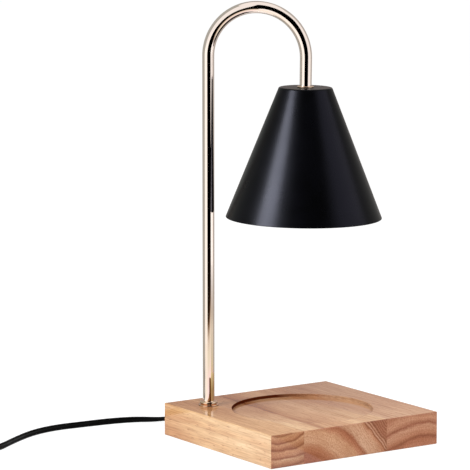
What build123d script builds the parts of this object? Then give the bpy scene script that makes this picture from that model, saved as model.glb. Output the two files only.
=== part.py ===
from build123d import *
from math import cos, pi, radians, sin, tan
import os

# Candle warmer lamp: a wood board with a jar recess, a plated tube bent over like a walking stick, and a
# black cone shade that holds a reflector lamp above the jar. Millimetres, +X right, +Y back, +Z up.
# The origin is the middle of the rubber feet's resting plane.

# ---- driving dimensions: board and underside
BOARD_X = 160.0  # left to right
BOARD_Y = 150.0  # front to back
BOARD_T = 26.0
FOOT_PROUD = 0.3  # the feet lift the board this much
EDGE_EASE = 0.5  # sanded edges
RECESS_R = 56.0  # takes a 102 to 110 mm jar
RECESS_Y = -3.5  # the recess sits forward of the board's middle, clear of the stem
RECESS_DEPTH = 2.4
PLATE_X, PLATE_Y, PLATE_T = 137.4, 126.4, 3.0  # steel plate that hides the wiring and weighs the lamp down
PLATE_CORNER_R = 20.0
PLATE_GAP = 0.3
PLATE_SCREWS = ((60.0, 0.0), (-60.0, 0.0), (0.0, 56.0), (0.0, -56.0))
WOOD_SCREW_R, WOOD_SCREW_L, WOOD_SCREW_HEAD_R = 1.35, 11.5, 3.4
PILOT_R, PILOT_DEPTH = 1.4, 9.5
FOOT_X, FOOT_Y = 71.0, 66.0
FOOT_R, FOOT_POCKET = 5.0, 1.2

# ---- driving dimensions: stem
STEM_X, STEM_Y = -56.0, 47.0
TUBE_R, TUBE_WALL = 4.75, 1.2  # 3/8 inch tube
SNUG, LOOSE = 0.05, 0.2  # play round the tube in its nuts, collar and disc, and in the board
ARCH_R = 38.9  # centreline radius of the bend
SPRING_Z = 306.0  # where the straight stem becomes the arch
ARM_DIRECTION = -45.0  # the arch runs along the board's diagonal, degrees from +X
LEAN = 0.6  # the bend goes this far past half a turn, so the shade leans towards the stem
TUBE_END_Z = 7.8
LEDGE_Z = 16.5  # ceiling of the nut's counterbore
NUT_BORE_R = 10.0
CORD_HOLE_Z, CORD_HOLE_R = 7.0, 3.3
NUT_AF, NUT_T = 14.0, 5.0  # lamp nut, across flats and thickness
COLLAR_R, COLLAR_H = 7.6, 3.4
WASHER_R, WASHER_T, LOCK_R, LOCK_T = 9.0, 1.5, 7.6, 1.4
CAP_R, CAP_H = 6.6, 1.2  # disc on top of the shade

# ---- driving dimensions: shade and lamp, heights measured down the leaning leg from the shade's top
SHADE_TOP_Z = 282.8
SHADE_TOP_R, SHADE_RIM_R, SHADE_H = 20.9, 61.6, 102.7
SHADE_WALL = 1.0
TUBE_BELOW_SHADE_TOP = 9.0
BRACKET_HALF, BRACKET_T, BRACKET_W = 13.0, 1.2, 14.0
BRACKET_LOW = -27.0
HOLDER_TOP, HOLDER_LOW, HOLDER_R = -18.0, -31.0, 15.5
CAVITY_TOP, CAVITY_LOW, CAVITY_R = -23.0, -28.3, 8.6
SIDE_SCREW_T = -22.0
PIN_CIRCLE_R = 5.0  # two pins 10 mm apart
BULB_TWIST = 30.0  # the lamp locks over this many degrees
BULB_TOP = -31.3
BULB_NECK = -46.0
BULB_RIM = -82.0
BULB_R = 25.0

# ---- driving dimensions: flat twin cord, in-line dimmer and plug
CORD_R = 2.5  # the cord is 5 mm wide
CORD_SLACK = 0.3  # room around the cord where it enters the dimmer
DIMMER_X, DIMMER_Y, DIMMER_TURN = -276.0, 54.0, 218.0
DIMMER_L, DIMMER_W, DIMMER_H = 62.0, 28.0, 18.0
DIMMER_SPLIT, DIMMER_WALL, DIMMER_CORNER = 6.5, 1.8, 8.0
WHEEL_R, WHEEL_W, WHEEL_Z = 8.5, 6.0, 11.0
WHEEL_SHAFT_R = 2.0
CIRCUIT_L, CIRCUIT_W, CIRCUIT_T, CIRCUIT_Z = 36.0, 23.0, 1.4, 2.0
DIMMER_SCREWS = ((22.5, -8.5), (-22.5, 8.5))
BOSS_R, BOSS_HOLE_R, SCREW_HEAD_R, SCREW_SHANK_R = 2.8, 1.5, 2.3, 1.1
COIL_X, COIL_Y, COIL_R, COIL_BAND, COIL_H = -319.0, 108.0, 27.5, 11.4, 10.4
PLUG_X, PLUG_Y, PLUG_Z = -268.0, 138.0, 7.6  # the plug's rear end
PLUG_L, PLUG_W, PLUG_H = 33.0, 24.0, 15.2
BLADE_PITCH, BLADE_T, BLADE_H, BLADE_L = 12.7, 1.5, 6.3, 17.0

# The cord's routes, chosen point by point: out of the strain relief, down to the table and round to the left
# as far as the dimmer, then on to the coil, and from the coil to the plug.
NEAR_ROUTE = [
    (-56, 95, 7), (-56.6, 107, 4.6), (-61.5, 119.5, 2.6), (-72.5, 130, 2.5), (-92, 134.8, 2.5),
    (-117, 136.5, 2.5), (-144, 138.8, 2.5), (-169.5, 132.3, 2.5), (-195.5, 116, 2.5), (-219, 97.5, 3.1),
    (-238.5, 83.5, 5.9), (-255.5, 70, 6.5),
]
FAR_ROUTE = [
    (-296.5, 38, 6.5), (-310, 27.3, 5.5), (-326.8, 25.6, 3.2), (-341.5, 33, 2.5), (-351, 48, 2.5),
    (-353, 66, 2.5), (-351.5, 84, 2.5), (-350, 102, 2.6),
]
TAIL_ROUTE = [(-327, 138.3, 7.7), (-308.5, 142.6, 7.8), (-288, 141, 7.7), (PLUG_X, PLUG_Y, PLUG_Z)]

# ---- worked out from the driving dimensions
BOARD_LOW = FOOT_PROUD
BOARD_TOP = BOARD_LOW + BOARD_T
PLATE_TOP = BOARD_LOW + PLATE_T
UP = Vector(0, 0, 1)
arm = Vector(cos(radians(ARM_DIRECTION)), sin(radians(ARM_DIRECTION)), 0)
across = Vector(-arm.Y, arm.X, 0)
stem_foot = Vector(STEM_X, STEM_Y, 0)


def arch_point(turn):
    """The arch's centreline after so many degrees of bend, from the top of the straight stem."""
    a = radians(turn)
    return stem_foot + arm * (ARCH_R * (1 - cos(a))) + UP * (SPRING_Z + ARCH_R * sin(a))


arch_end = arch_point(180 + LEAN)
shade_up = (UP * cos(radians(LEAN)) + arm * sin(radians(LEAN))).normalized()
shade_top = arch_end - shade_up * ((arch_end.Z - SHADE_TOP_Z) / shade_up.Z)

stem_side = Plane(origin=stem_foot, x_dir=(1, 0, 0), z_dir=(0, -1, 0))
shade_side = Plane(origin=shade_top, x_dir=across, z_dir=across.cross(shade_up))
shade_level = Plane(origin=shade_top, x_dir=across, z_dir=shade_up)
dimmer_level = Plane(
    origin=(DIMMER_X, DIMMER_Y, 0),
    x_dir=(cos(radians(DIMMER_TURN)), sin(radians(DIMMER_TURN)), 0),
    z_dir=(0, 0, 1),
)
plug_rear = Plane(origin=(PLUG_X, PLUG_Y, PLUG_Z), x_dir=(0, -1, 0), z_dir=(1, 0, 0))
holder_screw_side = Plane(
    origin=shade_top + shade_up * SIDE_SCREW_T, x_dir=shade_up, z_dir=across
)


def turn(side, outline):
    """Turns a closed outline of (radius, height) points about the upright axis of its side plane."""
    with BuildSketch(side) as profile:
        with BuildLine():
            Polyline(*outline, close=True)
        make_face()
    revolve(profile.sketch, axis=Axis(side.origin, side.y_dir))


def turn_ring(side, inner, outer, low, high):
    """Turns a plain ring between two radii and two heights."""
    turn(side, [(inner, low), (outer, low), (outer, high), (inner, high)])


def edges_at(height, part, plane=Plane.XY):
    """The edges that lie flat at a height above a plane."""
    return [
        e
        for e in part.edges()
        if all(abs(plane.to_local_coords(p).Z - height) < 0.01 for p in (e @ 0, e @ 0.35, e @ 0.7))
    ]


def finish(builder, name):
    """Labels a finished piece and writes it as STEP."""
    builder.part.label = name
    export_step(builder.part, f"parts/{name}.step")


os.makedirs("parts", exist_ok=True)

# ---- base: board, plate, screws and feet
with BuildPart() as base_block:
    with BuildSketch(Plane.XY.offset(BOARD_LOW)):
        Rectangle(BOARD_X, BOARD_Y)
    extrude(amount=BOARD_T)
    chamfer(base_block.edges(), length=EDGE_EASE)
    with BuildSketch(Plane.XY.offset(BOARD_TOP)):
        with Locations((0, RECESS_Y)):
            Circle(RECESS_R)
    extrude(amount=-RECESS_DEPTH, mode=Mode.SUBTRACT)
    rim = base_block.edges().filter_by(GeomType.CIRCLE).group_by(Axis.Z)[-1]
    chamfer(rim, length=EDGE_EASE)
    with BuildSketch(Plane.XY.offset(BOARD_LOW)):
        RectangleRounded(PLATE_X + 2 * PLATE_GAP, PLATE_Y + 2 * PLATE_GAP, PLATE_CORNER_R + PLATE_GAP)
    extrude(amount=PLATE_T, mode=Mode.SUBTRACT)
    with BuildSketch(Plane.XY.offset(BOARD_LOW)):
        with Locations((FOOT_X, FOOT_Y), (-FOOT_X, FOOT_Y), (-FOOT_X, -FOOT_Y), (FOOT_X, -FOOT_Y)):
            Circle(FOOT_R + 0.2)
    extrude(amount=FOOT_POCKET, mode=Mode.SUBTRACT)
    with BuildSketch(Plane.XY.offset(PLATE_TOP)):
        with Locations((STEM_X, STEM_Y)):
            Circle(NUT_BORE_R)
    extrude(amount=LEDGE_Z - PLATE_TOP, mode=Mode.SUBTRACT)
    with BuildSketch(Plane.XY.offset(BOARD_LOW)):
        with Locations((STEM_X, STEM_Y)):
            Circle(TUBE_R + LOOSE)
    extrude(amount=BOARD_T, mode=Mode.SUBTRACT)
    with BuildSketch(Plane.XY.offset(PLATE_TOP)):
        with Locations(*PLATE_SCREWS):
            Circle(PILOT_R)
    extrude(amount=PILOT_DEPTH, mode=Mode.SUBTRACT)
    with BuildSketch(Plane.XZ.offset(-BOARD_Y / 2)):
        with Locations((STEM_X, CORD_HOLE_Z)):
            Circle(CORD_HOLE_R)
    extrude(amount=BOARD_Y / 2 - STEM_Y, mode=Mode.SUBTRACT)
finish(base_block, "base_block")

with BuildPart() as bottom_plate:
    with BuildSketch(Plane.XY.offset(BOARD_LOW)):
        RectangleRounded(PLATE_X, PLATE_Y, PLATE_CORNER_R)
    extrude(amount=PLATE_T)
    with Locations(Plane.XY.offset(BOARD_LOW).rotated((180, 0, 0))):
        with Locations(*PLATE_SCREWS):
            CounterSinkHole(radius=1.9, counter_sink_radius=3.7)
finish(bottom_plate, "bottom_plate")

with BuildPart() as plate_screws:
    for x, y in PLATE_SCREWS:
        with Locations((x, y, BOARD_LOW)):
            Cone(WOOD_SCREW_HEAD_R, WOOD_SCREW_R, 2.0, align=(Align.CENTER, Align.CENTER, Align.MIN))
            Cylinder(WOOD_SCREW_R, WOOD_SCREW_L, align=(Align.CENTER, Align.CENTER, Align.MIN))
            Box(4.0, 0.9, 2.4, mode=Mode.SUBTRACT)
            Box(0.9, 4.0, 2.4, mode=Mode.SUBTRACT)
finish(plate_screws, "plate_screws")

with BuildPart() as rubber_feet:
    with Locations((FOOT_X, FOOT_Y), (-FOOT_X, FOOT_Y), (-FOOT_X, -FOOT_Y), (FOOT_X, -FOOT_Y)):
        Cylinder(FOOT_R, FOOT_PROUD + FOOT_POCKET, align=(Align.CENTER, Align.CENTER, Align.MIN))
finish(rubber_feet, "rubber_feet")

# ---- stem: bent tube, collar on the board, washers and nut under it
with BuildPart() as stem_tube:
    with BuildLine() as stem_path:
        Line(stem_foot + UP * TUBE_END_Z, arch_point(0))
        ThreePointArc(arch_point(0), arch_point((180 + LEAN) / 2), arch_end)
        Line(arch_end, shade_top - shade_up * TUBE_BELOW_SHADE_TOP)
    with BuildSketch(Plane.XY.offset(TUBE_END_Z)):
        with Locations((STEM_X, STEM_Y)):
            Circle(TUBE_R)
            Circle(TUBE_R - TUBE_WALL, mode=Mode.SUBTRACT)
    sweep(path=stem_path.wire())
finish(stem_tube, "stem_tube")

with BuildPart() as foot_collar:
    turn(stem_side, [
        (TUBE_R + SNUG, BOARD_TOP), (COLLAR_R - 0.4, BOARD_TOP), (COLLAR_R, BOARD_TOP + 0.4),
        (COLLAR_R, BOARD_TOP + 1.0), (COLLAR_R - 0.3, BOARD_TOP + 1.3), (6.5, BOARD_TOP + 1.5),
        (5.8, BOARD_TOP + 1.9), (5.4, BOARD_TOP + 2.5), (5.2, BOARD_TOP + COLLAR_H),
        (TUBE_R + SNUG, BOARD_TOP + COLLAR_H),
    ])
finish(foot_collar, "foot_collar")

with BuildPart() as stem_washer:
    turn_ring(stem_side, TUBE_R + 0.1, WASHER_R, LEDGE_Z - WASHER_T, LEDGE_Z)
finish(stem_washer, "stem_washer")

with BuildPart() as stem_lock_washer:
    lock_top = LEDGE_Z - WASHER_T
    turn_ring(stem_side, TUBE_R + 0.1, LOCK_R, lock_top - LOCK_T, lock_top)
    with Locations((STEM_X + (TUBE_R + LOCK_R) / 2, STEM_Y, lock_top - LOCK_T / 2)):
        Box(LOCK_R - TUBE_R + 1.2, 0.8, LOCK_T + 0.6, mode=Mode.SUBTRACT)
finish(stem_lock_washer, "stem_lock_washer")

with BuildPart() as stem_nut:
    with BuildSketch(Plane.XY.offset(LEDGE_Z - WASHER_T - LOCK_T - NUT_T)):
        with Locations((STEM_X, STEM_Y)):
            RegularPolygon(NUT_AF / 2, 6, major_radius=False)
            Circle(TUBE_R + SNUG, mode=Mode.SUBTRACT)
    extrude(amount=NUT_T)
finish(stem_nut, "stem_nut")

# ---- strain relief in the rear edge: a plug in the hole, a flange, and a ribbed taper towards the cord
with BuildPart() as cord_strain_relief:
    rear = BOARD_Y / 2
    relief_side = Plane(origin=(STEM_X, 0, CORD_HOLE_Z), x_dir=(0, 0, 1), z_dir=(-1, 0, 0))
    outline = [(0, 60.0), (3.2, 60.0), (3.2, rear), (5.2, rear), (5.2, rear + 1.6), (4.2, rear + 2.0)]
    for rib in range(4):
        y = rear + 4.0 + rib * 3.6
        r = 3.9 - rib * 0.22
        outline += [(r, y), (r - 0.7, y + 0.5), (r - 0.7, y + 1.6), (r - 0.15, y + 2.1)]
    outline += [(CORD_R + 0.2, NEAR_ROUTE[0][1]), (0, NEAR_ROUTE[0][1])]
    turn(relief_side, outline)
finish(cord_strain_relief, "cord_strain_relief")


# ---- the two leads inside the tube, from the strain relief to the lampholder
def lead(side):
    """One insulated lead: out of the strain relief, up the stem, round the arch and down to its terminal."""
    shift = across * (1.25 * side)
    start = Vector(STEM_X + shift.X, 60.0, 6.2)
    corner = Vector(STEM_X + shift.X, STEM_Y + shift.Y, 6.2)
    tube_end = shade_top - shade_up * TUBE_BELOW_SHADE_TOP + shift
    spread = shade_top - shade_up * 15.0 + across * (PIN_CIRCLE_R * side)
    terminal = shade_top + shade_up * (CAVITY_TOP + 0.1) + across * (PIN_CIRCLE_R * side)
    with BuildLine() as path:
        FilletPolyline(start, corner, arch_point(0) + shift, radius=4.0)
        ThreePointArc(arch_point(0) + shift, arch_point((180 + LEAN) / 2) + shift, arch_end + shift)
        FilletPolyline(arch_end + shift, tube_end, spread, terminal, radius=2.5)
    with BuildSketch(Plane(origin=start, z_dir=(0, -1, 0))) as section:
        Circle(0.8)
    sweep(section.sketch, path=path.wire())


with BuildPart() as lead_line:
    lead(1)
finish(lead_line, "lead_line")

with BuildPart() as lead_neutral:
    lead(-1)
finish(lead_neutral, "lead_neutral")

# ---- shade, the disc on top of it, and the washer and nut that clamp it to the tube's end
with BuildPart() as shade_cap:
    turn(shade_side, [
        (TUBE_R + SNUG, 0), (CAP_R - 0.3, 0), (CAP_R, 0.3), (CAP_R, CAP_H - 0.4), (CAP_R - 0.4, CAP_H),
        (TUBE_R + SNUG, CAP_H),
    ])
finish(shade_cap, "shade_cap")

with BuildPart() as shade:
    slope = (SHADE_RIM_R - SHADE_TOP_R) / SHADE_H
    wall_r = SHADE_WALL * (1 + slope**2) ** 0.5  # the wall measured level
    turn(shade_side, [
        (TUBE_R + 0.1, 0), (SHADE_TOP_R, 0), (SHADE_RIM_R, -SHADE_H), (SHADE_RIM_R - wall_r, -SHADE_H),
        (SHADE_TOP_R + slope * SHADE_WALL - wall_r, -SHADE_WALL), (TUBE_R + 0.1, -SHADE_WALL),
    ])
    fillet(
        [e for e in edges_at(0, shade, shade_level) if e.radius > SHADE_TOP_R - 1],
        radius=1.6,
    )
    fillet(
        [e for e in edges_at(-SHADE_WALL, shade, shade_level) if e.radius > SHADE_TOP_R - 2],
        radius=0.6,
    )
finish(shade, "shade")

with BuildPart() as shade_washer:
    turn_ring(shade_side, TUBE_R + 0.1, 10.0, -SHADE_WALL - 1.0, -SHADE_WALL)
finish(shade_washer, "shade_washer")

with BuildPart() as lampholder_bracket:
    web_top = -SHADE_WALL - 1.0
    outer = BRACKET_HALF + BRACKET_T
    with BuildSketch(shade_side):
        with BuildLine():
            Polyline(
                (-outer, web_top), (outer, web_top), (outer, BRACKET_LOW), (BRACKET_HALF, BRACKET_LOW),
                (BRACKET_HALF, web_top - BRACKET_T), (-BRACKET_HALF, web_top - BRACKET_T),
                (-BRACKET_HALF, BRACKET_LOW), (-outer, BRACKET_LOW), close=True,
            )
        make_face()
    extrude(amount=BRACKET_W / 2, both=True)
    with BuildSketch(shade_level.offset(web_top - BRACKET_T)):
        Circle(TUBE_R + 0.15)
    extrude(amount=BRACKET_T, mode=Mode.SUBTRACT)
    with BuildSketch(holder_screw_side):
        Circle(1.6)
    extrude(amount=outer, both=True, mode=Mode.SUBTRACT)
finish(lampholder_bracket, "lampholder_bracket")

with BuildPart() as shade_nut:
    with BuildSketch(shade_level.offset(web_top - BRACKET_T - 4.0)):
        RegularPolygon(NUT_AF / 2, 6, major_radius=False)
        Circle(TUBE_R + SNUG, mode=Mode.SUBTRACT)
    extrude(amount=4.0)
finish(shade_nut, "shade_nut")

# ---- lampholder: ceramic body with two bayonet slots, its contacts and its side screws
with BuildPart() as lampholder:
    with BuildSketch(shade_level.offset(HOLDER_LOW)):
        Circle(HOLDER_R)
        Rectangle(2 * BRACKET_HALF - 0.2, 2 * HOLDER_R, mode=Mode.INTERSECT)
    extrude(amount=HOLDER_TOP - HOLDER_LOW)
    with BuildSketch(shade_level.offset(CAVITY_LOW)):
        Circle(CAVITY_R)
    extrude(amount=CAVITY_TOP - CAVITY_LOW, mode=Mode.SUBTRACT)
    with BuildSketch(shade_level.offset(HOLDER_LOW)):
        for start in (0, 180):
            with BuildLine() as slot_line:
                CenterArc((0, 0), PIN_CIRCLE_R, start - BULB_TWIST, BULB_TWIST)
            SlotArc(slot_line.edge(), 3.4)
            with PolarLocations(PIN_CIRCLE_R, 1, start - BULB_TWIST):
                Circle(2.75)
    extrude(amount=CAVITY_LOW - HOLDER_LOW, mode=Mode.SUBTRACT)
    with BuildSketch(shade_level.offset(CAVITY_TOP)):
        with Locations((PIN_CIRCLE_R, 0), (-PIN_CIRCLE_R, 0)):
            Circle(1.2)
    extrude(amount=HOLDER_TOP - CAVITY_TOP, mode=Mode.SUBTRACT)
    for side in (1, -1):
        with BuildSketch(holder_screw_side.offset(side * 9.4)):
            Circle(1.35)
        extrude(amount=side * 5.0, mode=Mode.SUBTRACT)
finish(lampholder, "lampholder")

with BuildPart() as holder_contacts:
    with BuildSketch(shade_level.offset(CAVITY_TOP - 0.8)):
        for start in (0, 180):
            with BuildLine() as leaf_line:
                CenterArc((0, 0), PIN_CIRCLE_R, start - BULB_TWIST, BULB_TWIST)
            SlotArc(leaf_line.edge(), 4.0)
    extrude(amount=0.8)
finish(holder_contacts, "holder_contacts")

with BuildPart() as holder_screws:
    for side in (1, -1):
        with BuildSketch(holder_screw_side.offset(side * 9.5)):
            Circle(1.25)
        extrude(amount=side * (outer - 9.5))
        with BuildSketch(holder_screw_side.offset(side * outer)):
            Circle(2.8)
        extrude(amount=side * 1.8)
        with BuildSketch(holder_screw_side.offset(side * (outer + 1.0))):
            Rectangle(0.8, 6.0)
        extrude(amount=side * 1.0, mode=Mode.SUBTRACT)
finish(holder_screws, "holder_screws")

# ---- the reflector lamp, which twists out of the holder
with BuildPart() as bulb_pins:
    with BuildSketch(shade_level.offset(BULB_TOP)):
        with Locations((PIN_CIRCLE_R, 0), (-PIN_CIRCLE_R, 0)):
            Circle(1.45)
    extrude(amount=3.3)
    with BuildSketch(shade_level.offset(BULB_TOP + 3.3)):
        with Locations((PIN_CIRCLE_R, 0), (-PIN_CIRCLE_R, 0)):
            Circle(2.4)
    extrude(amount=2.9)
finish(bulb_pins, "bulb_pins")

with BuildPart() as bulb_base:
    turn(shade_side, [
        (0, BULB_TOP), (10.6, BULB_TOP), (11.4, BULB_TOP - 0.8), (11.8, BULB_NECK + 4.0),
        (13.2, BULB_NECK + 3.2), (13.2, BULB_NECK), (0, BULB_NECK),
    ])
finish(bulb_base, "bulb_base")

with BuildPart() as bulb_reflector:
    with BuildSketch(shade_side) as bowl:
        with BuildLine():
            outside = ThreePointArc((12.2, BULB_NECK), (19.8, -58.5), (BULB_R - 0.4, BULB_RIM + 3.2))
            rim_line = Polyline(
                outside @ 1, (BULB_R, BULB_RIM + 2.8), (BULB_R, BULB_RIM), (BULB_R - 1.2, BULB_RIM),
                (BULB_R - 1.2, BULB_RIM + 3.2),
            )
            inside = ThreePointArc(rim_line @ 1, (18.5, -58.8), (11.0, BULB_NECK))
            Line(inside @ 1, outside @ 0)
        make_face()
    revolve(axis=Axis(shade_top, shade_up))
finish(bulb_reflector, "bulb_reflector")

with BuildPart() as bulb_lens:
    turn_ring(shade_side, 0, BULB_R - 1.3, BULB_RIM + 0.6, BULB_RIM + 2.4)
finish(bulb_lens, "bulb_lens")

with BuildPart() as bulb_capsule:
    turn(shade_side, [
        (0, BULB_NECK), (4.4, BULB_NECK), (4.6, BULB_NECK - 9.0), (3.6, BULB_NECK - 12.5),
        (1.6, BULB_NECK - 14.2), (0, BULB_NECK - 14.6),
    ])
finish(bulb_capsule, "bulb_capsule")


# ---- flat twin cord, kept here as a plain round tube along its route
def lay_cord(name, route):
    """Sweeps the cord along straight runs and the largest arcs that they allow, and prints its radii."""
    points = [Vector(*p) for p in route]
    runs = [b - a for a, b in zip(points, points[1:])]
    radii = [
        0.45 * min(a.length, b.length) / tan(radians(a.get_angle(b)) / 2) for a, b in zip(runs, runs[1:])
    ]
    with BuildLine() as path:
        FilletPolyline(*points, radius=radii)
    with BuildSketch(Plane(origin=points[0], z_dir=runs[0])) as section:
        Circle(CORD_R)
    sweep(section.sketch, path=path.wire())
    length = path.wire().length
    print(name, "length", round(length, 1), "radii", [round(r, 1) for r in radii])
    return length


with BuildPart() as power_cord_near:
    near_length = lay_cord("power_cord_near", NEAR_ROUTE)
finish(power_cord_near, "power_cord_near")

with BuildPart() as power_cord_far:
    far_length = lay_cord("power_cord_far", FAR_ROUTE)
finish(power_cord_far, "power_cord_far")

with BuildPart() as power_cord_tail:
    tail_length = lay_cord("power_cord_tail", TAIL_ROUTE)
finish(power_cord_tail, "power_cord_tail")

for builder, length in (
    (power_cord_near, near_length), (power_cord_far, far_length), (power_cord_tail, tail_length)
):
    print(builder.part.label, "volume over section times length", round(
        builder.part.volume / (pi * CORD_R**2 * length), 4))

with BuildPart() as cord_coil:
    coil_side = Plane(origin=(COIL_X, COIL_Y, 0), x_dir=(1, 0, 0), z_dir=(0, -1, 0))
    inner, outer_r, ease = COIL_R - COIL_BAND / 2, COIL_R + COIL_BAND / 2, 2.0
    turn(coil_side, [
        (inner + ease, 0), (outer_r - ease, 0), (outer_r, ease), (outer_r, COIL_H - ease),
        (outer_r - ease, COIL_H), (inner + ease, COIL_H), (inner, COIL_H - ease), (inner, ease),
    ])
finish(cord_coil, "cord_coil")

# ---- in-line dimmer: two shells, two screws, a board with its parts, and a thumb wheel on its own shaft
with BuildPart() as dimmer_lower_shell:
    with BuildSketch(dimmer_level):
        RectangleRounded(DIMMER_L, DIMMER_W, DIMMER_CORNER)
    extrude(amount=DIMMER_SPLIT)
    fillet(edges_at(0, dimmer_lower_shell), radius=1.2)
    with BuildSketch(dimmer_level.offset(DIMMER_WALL)):
        RectangleRounded(
            DIMMER_L - 2 * DIMMER_WALL, DIMMER_W - 2 * DIMMER_WALL, DIMMER_CORNER - DIMMER_WALL
        )
    extrude(amount=DIMMER_SPLIT, mode=Mode.SUBTRACT)
    with BuildSketch(dimmer_level.offset(DIMMER_WALL)):
        with Locations(*DIMMER_SCREWS):
            Circle(BOSS_R)
    extrude(amount=DIMMER_SPLIT - DIMMER_WALL)
    with BuildSketch(dimmer_level):
        with Locations(*DIMMER_SCREWS):
            Circle(BOSS_HOLE_R)
    extrude(amount=DIMMER_SPLIT, mode=Mode.SUBTRACT)
    with BuildSketch(dimmer_level):
        with Locations(*DIMMER_SCREWS):
            Circle(SCREW_HEAD_R + 0.2)
    extrude(amount=1.6, mode=Mode.SUBTRACT)
    cord_way = Plane(
        origin=dimmer_level.from_local_coords((0, 0, DIMMER_SPLIT)),
        x_dir=(0, 0, 1), z_dir=dimmer_level.x_dir,
    )
    with BuildSketch(cord_way):
        Circle(CORD_R + CORD_SLACK)
    extrude(amount=DIMMER_L, both=True, mode=Mode.SUBTRACT)
finish(dimmer_lower_shell, "dimmer_lower_shell")

with BuildPart() as dimmer_upper_shell:
    with BuildSketch(dimmer_level.offset(DIMMER_SPLIT)):
        RectangleRounded(DIMMER_L, DIMMER_W, DIMMER_CORNER)
    extrude(amount=DIMMER_H - DIMMER_SPLIT)
    fillet(edges_at(DIMMER_H, dimmer_upper_shell), radius=3.0)
    with BuildSketch(dimmer_level.offset(DIMMER_SPLIT)):
        RectangleRounded(
            DIMMER_L - 2 * DIMMER_WALL, DIMMER_W - 2 * DIMMER_WALL, DIMMER_CORNER - DIMMER_WALL
        )
    extrude(amount=DIMMER_H - DIMMER_SPLIT - DIMMER_WALL, mode=Mode.SUBTRACT)
    with BuildSketch(dimmer_level.offset(DIMMER_SPLIT)):
        with Locations(*DIMMER_SCREWS):
            Circle(BOSS_R)
    extrude(amount=DIMMER_H - DIMMER_SPLIT - DIMMER_WALL)
    with BuildSketch(dimmer_level.offset(DIMMER_SPLIT)):
        with Locations(*DIMMER_SCREWS):
            Circle(SCREW_SHANK_R + 0.05)
    extrude(amount=7.0, mode=Mode.SUBTRACT)
    with BuildSketch(dimmer_level.offset(DIMMER_SPLIT)):
        Rectangle(15.6, WHEEL_W + 1.4)
    extrude(amount=DIMMER_H, mode=Mode.SUBTRACT)
    with BuildSketch(cord_way):
        Circle(CORD_R + CORD_SLACK)
    extrude(amount=DIMMER_L, both=True, mode=Mode.SUBTRACT)
finish(dimmer_upper_shell, "dimmer_upper_shell")

with BuildPart() as dimmer_screws:
    with BuildSketch(dimmer_level.offset(0.3)):
        with Locations(*DIMMER_SCREWS):
            Circle(SCREW_HEAD_R)
    extrude(amount=1.3)
    with BuildSketch(dimmer_level.offset(1.6)):
        with Locations(*DIMMER_SCREWS):
            Circle(SCREW_SHANK_R)
    extrude(amount=10.0)
    with BuildSketch(dimmer_level.offset(0.3)):
        with Locations(*DIMMER_SCREWS):
            Rectangle(3.0, 0.7)
            Rectangle(0.7, 3.0)
    extrude(amount=0.8, mode=Mode.SUBTRACT)
finish(dimmer_screws, "dimmer_screws")

with BuildPart() as dimmer_board:
    with BuildSketch(dimmer_level.offset(CIRCUIT_Z)):
        Rectangle(CIRCUIT_L, CIRCUIT_W)
        Rectangle(2 * WHEEL_R + 2.0, WHEEL_W + 1.6, mode=Mode.SUBTRACT)
    extrude(amount=CIRCUIT_T)
finish(dimmer_board, "dimmer_board")

with BuildPart() as dimmer_triac:
    with BuildSketch(dimmer_level.offset(CIRCUIT_Z + CIRCUIT_T)):
        with Locations((14.0, 0)):
            Rectangle(4.5, 10.0)
    extrude(amount=9.0)
finish(dimmer_triac, "dimmer_triac")

wheel_side = Plane(
    origin=dimmer_level.from_local_coords((0, 0, WHEEL_Z)), x_dir=(0, 0, 1), z_dir=dimmer_level.y_dir
)
with BuildPart() as dimmer_control:
    with BuildSketch(wheel_side.offset(4.2)):
        Circle(5.0)
        with Locations((-(WHEEL_Z - CIRCUIT_Z - CIRCUIT_T) / 2, 0)):
            Rectangle(WHEEL_Z - CIRCUIT_Z - CIRCUIT_T, 8.0)
        Circle(WHEEL_SHAFT_R + 0.06, mode=Mode.SUBTRACT)
    extrude(amount=5.0)
finish(dimmer_control, "dimmer_control")

with BuildPart() as dimmer_wheel:
    with BuildSketch(wheel_side.offset(-WHEEL_W / 2)):
        Circle(WHEEL_R)
        Circle(WHEEL_SHAFT_R + 0.03, mode=Mode.SUBTRACT)
        with PolarLocations(WHEEL_R + 0.35, 30):
            Circle(0.75, mode=Mode.SUBTRACT)
    extrude(amount=WHEEL_W)
finish(dimmer_wheel, "dimmer_wheel")

with BuildPart() as dimmer_shaft:
    with BuildSketch(wheel_side.offset(-WHEEL_W / 2)):
        Circle(WHEEL_SHAFT_R)
    extrude(amount=WHEEL_W + 6.0)
finish(dimmer_shaft, "dimmer_shaft")

# ---- plug: a moulded body that tapers to the cord, with two flat blades
with BuildPart() as plug_body:
    with BuildSketch(plug_rear):
        RectangleRounded(7.4, 7.0, 3.0)
    with BuildSketch(plug_rear.offset(PLUG_L * 0.45)):
        RectangleRounded(PLUG_W * 0.62, PLUG_H * 0.8, 4.5)
    with BuildSketch(plug_rear.offset(PLUG_L)):
        RectangleRounded(PLUG_W, PLUG_H, 6.5)
    loft()
finish(plug_body, "plug_body")

with BuildPart() as plug_blades:
    with BuildSketch(plug_rear.offset(PLUG_L)):
        with GridLocations(BLADE_PITCH, 0, 2, 1):
            Rectangle(BLADE_T, BLADE_H)
    extrude(amount=BLADE_L)
    tips = plug_blades.faces().group_by(Axis.X)[-1]
    chamfer(tips.edges().filter_by(Axis.Z), length=0.5)
    with BuildSketch(Plane.XZ.offset(-PLUG_Y)):
        with Locations((PLUG_X + PLUG_L + BLADE_L - 4.0, PLUG_Z)):
            Circle(1.6)
    extrude(amount=PLUG_W, both=True, mode=Mode.SUBTRACT)
finish(plug_blades, "plug_blades")
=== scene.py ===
"""Candle warmer lamp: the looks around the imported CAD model. Metres, +Z up, +X right, +Y back."""

from math import cos, pi, radians, sin, sqrt, tan

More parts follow.
